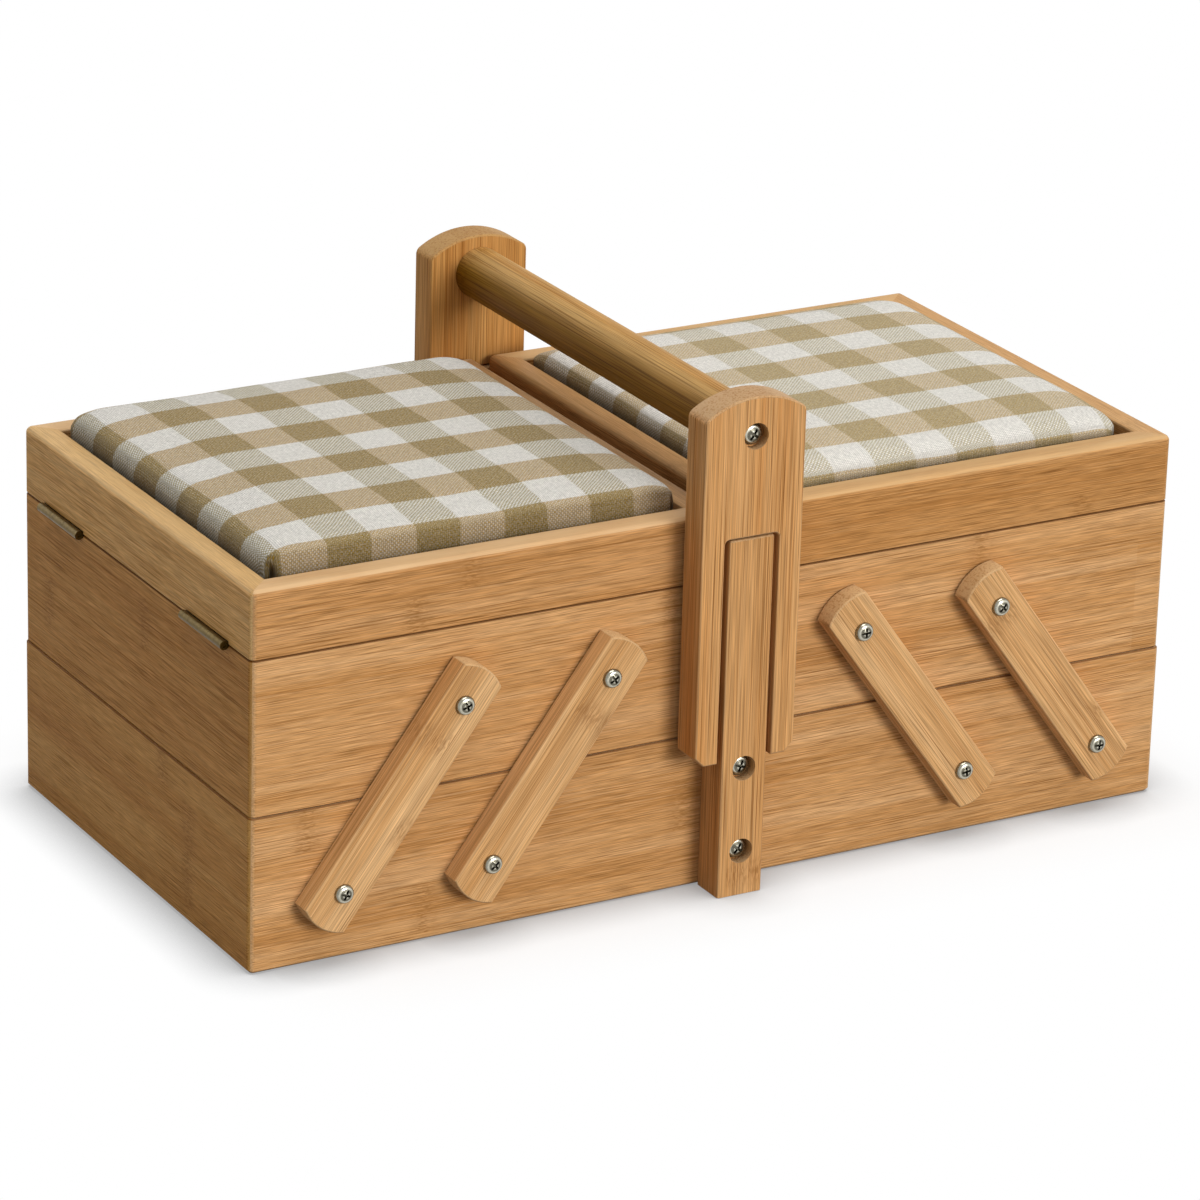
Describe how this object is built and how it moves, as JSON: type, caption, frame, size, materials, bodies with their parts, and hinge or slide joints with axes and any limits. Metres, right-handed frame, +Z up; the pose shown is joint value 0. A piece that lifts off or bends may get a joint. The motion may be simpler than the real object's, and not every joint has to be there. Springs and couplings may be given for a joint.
{
  "type": "cantilever sewing box",
  "caption": "Bamboo cantilever sewing box: open base, swinging upper trays on parallel links, padded gingham lids hinged at the ends and a lifting bar handle on posts.",
  "frame": {"origin": "under the middle of the base, on the surface it stands on", "axes": "+X along the box to the right, +Y to the back, +Z up"},
  "size_m": [0.4058, 0.231, 0.2005],
  "materials": {
    "bamboo_board": "satin lacquered bamboo",
    "bamboo_link": "satin lacquered bamboo",
    "bamboo_handle": "satin lacquered bamboo",
    "floor_panel": "thin bamboo ply",
    "pad_cloth": "woven gingham check over a soft filling",
    "zinc_screw": "bright zinc plated",
    "brass_hinge": "dull plated brass",
    "guide_key": "plain hardwood"
  },
  "bodies": {
    "base": {"base_front_board": "bamboo_board", "base_back_board": "bamboo_board", "base_left_end": "bamboo_board", "base_right_end": "bamboo_board", "base_floor_panel": "floor_panel", "front_post": "bamboo_handle", "back_post": "bamboo_handle", "post_screws": "zinc_screw", "base_link_screws": "zinc_screw"},
    "left_tray": {"left_tray_front_board": "bamboo_board", "left_tray_back_board": "bamboo_board", "left_tray_outer_end": "bamboo_board", "left_tray_inner_end": "bamboo_board", "left_tray_floor_panel": "floor_panel", "left_tray_link_screws": "zinc_screw", "left_hinge_lower_leaves": "brass_hinge"},
    "left_lid": {"left_lid_front_rail": "bamboo_board", "left_lid_back_rail": "bamboo_board", "left_lid_outer_rail": "bamboo_board", "left_lid_inner_rail": "bamboo_board", "left_lid_panel": "floor_panel", "left_lid_pad": "pad_cloth", "left_hinge_upper_leaves": "brass_hinge"},
    "left_front_outer_link": {"left_front_outer_link": "bamboo_link"},
    "left_front_inner_link": {"left_front_inner_link": "bamboo_link"},
    "left_back_outer_link": {"left_back_outer_link": "bamboo_link"},
    "left_back_inner_link": {"left_back_inner_link": "bamboo_link"},
    "right_tray": {"right_tray_front_board": "bamboo_board", "right_tray_back_board": "bamboo_board", "right_tray_outer_end": "bamboo_board", "right_tray_inner_end": "bamboo_board", "right_tray_floor_panel": "floor_panel", "right_tray_link_screws": "zinc_screw", "right_hinge_lower_leaves": "brass_hinge"},
    "right_lid": {"right_lid_front_rail": "bamboo_board", "right_lid_back_rail": "bamboo_board", "right_lid_outer_rail": "bamboo_board", "right_lid_inner_rail": "bamboo_board", "right_lid_panel": "floor_panel", "right_lid_pad": "pad_cloth", "right_hinge_upper_leaves": "brass_hinge"},
    "right_front_outer_link": {"right_front_outer_link": "bamboo_link"},
    "right_front_inner_link": {"right_front_inner_link": "bamboo_link"},
    "right_back_outer_link": {"right_back_outer_link": "bamboo_link"},
    "right_back_inner_link": {"right_back_inner_link": "bamboo_link"},
    "handle": {"front_upright": "bamboo_handle", "back_upright": "bamboo_handle", "grip_bar": "bamboo_handle", "handle_screws": "zinc_screw", "guide_keys": "guide_key"}
  },
  "joints": [
    {"name": "left_tray_swing", "type": "hinge", "parent": "base", "child": "left_front_outer_link", "pos_m": [-0.166, -0.1047, 0.03], "axis": [0, -1, 0], "range_deg": [0, 73]},
    {"name": "left_front_inner_link_turn", "type": "hinge", "parent": "base", "child": "left_front_inner_link", "pos_m": [-0.104, -0.1047, 0.03], "axis": [0, -1, 0], "range_deg": [0, 73]},
    {"name": "left_back_outer_link_turn", "type": "hinge", "parent": "base", "child": "left_back_outer_link", "pos_m": [-0.166, 0.1047, 0.03], "axis": [0, -1, 0], "range_deg": [0, 73]},
    {"name": "left_back_inner_link_turn", "type": "hinge", "parent": "base", "child": "left_back_inner_link", "pos_m": [-0.104, 0.1047, 0.03], "axis": [0, -1, 0], "range_deg": [0, 73]},
    {"name": "left_tray_level", "type": "hinge", "parent": "left_front_outer_link", "child": "left_tray", "pos_m": [-0.117, -0.1047, 0.096], "axis": [0, -1, 0], "range_deg": [-73, 0]},
    {"name": "left_lid_hinge", "type": "hinge", "parent": "left_tray", "child": "left_lid", "pos_m": [-0.2011, 0, 0.1235], "axis": [0, -1, 0], "range_deg": [0, 180]},
    {"name": "right_tray_swing", "type": "hinge", "parent": "base", "child": "right_front_outer_link", "pos_m": [0.166, -0.1047, 0.03], "axis": [0, 1, 0], "range_deg": [0, 73]},
    {"name": "right_front_inner_link_turn", "type": "hinge", "parent": "base", "child": "right_front_inner_link", "pos_m": [0.104, -0.1047, 0.03], "axis": [0, 1, 0], "range_deg": [0, 73]},
    {"name": "right_back_outer_link_turn", "type": "hinge", "parent": "base", "child": "right_back_outer_link", "pos_m": [0.166, 0.1047, 0.03], "axis": [0, 1, 0], "range_deg": [0, 73]},
    {"name": "right_back_inner_link_turn", "type": "hinge", "parent": "base", "child": "right_back_inner_link", "pos_m": [0.104, 0.1047, 0.03], "axis": [0, 1, 0], "range_deg": [0, 73]},
    {"name": "right_tray_level", "type": "hinge", "parent": "right_front_outer_link", "child": "right_tray", "pos_m": [0.117, -0.1047, 0.096], "axis": [0, 1, 0], "range_deg": [-73, 0]},
    {"name": "right_lid_hinge", "type": "hinge", "parent": "right_tray", "child": "right_lid", "pos_m": [0.2011, 0, 0.1235], "axis": [0, 1, 0], "range_deg": [0, 180]},
    {"name": "handle_lift", "type": "slide", "parent": "base", "child": "handle", "axis": [0, 0, 1], "range_m": [0, 0.06]}
  ],
  "couplings": [
    {"joint": "left_front_inner_link_turn", "follows": "left_tray_swing", "ratio": 1},
    {"joint": "left_back_outer_link_turn", "follows": "left_tray_swing", "ratio": 1},
    {"joint": "left_back_inner_link_turn", "follows": "left_tray_swing", "ratio": 1},
    {"joint": "left_tray_level", "follows": "left_tray_swing", "ratio": -1},
    {"joint": "right_front_inner_link_turn", "follows": "right_tray_swing", "ratio": 1},
    {"joint": "right_back_outer_link_turn", "follows": "right_tray_swing", "ratio": 1},
    {"joint": "right_back_inner_link_turn", "follows": "right_tray_swing", "ratio": 1},
    {"joint": "right_tray_level", "follows": "right_tray_swing", "ratio": -1}
  ]
}
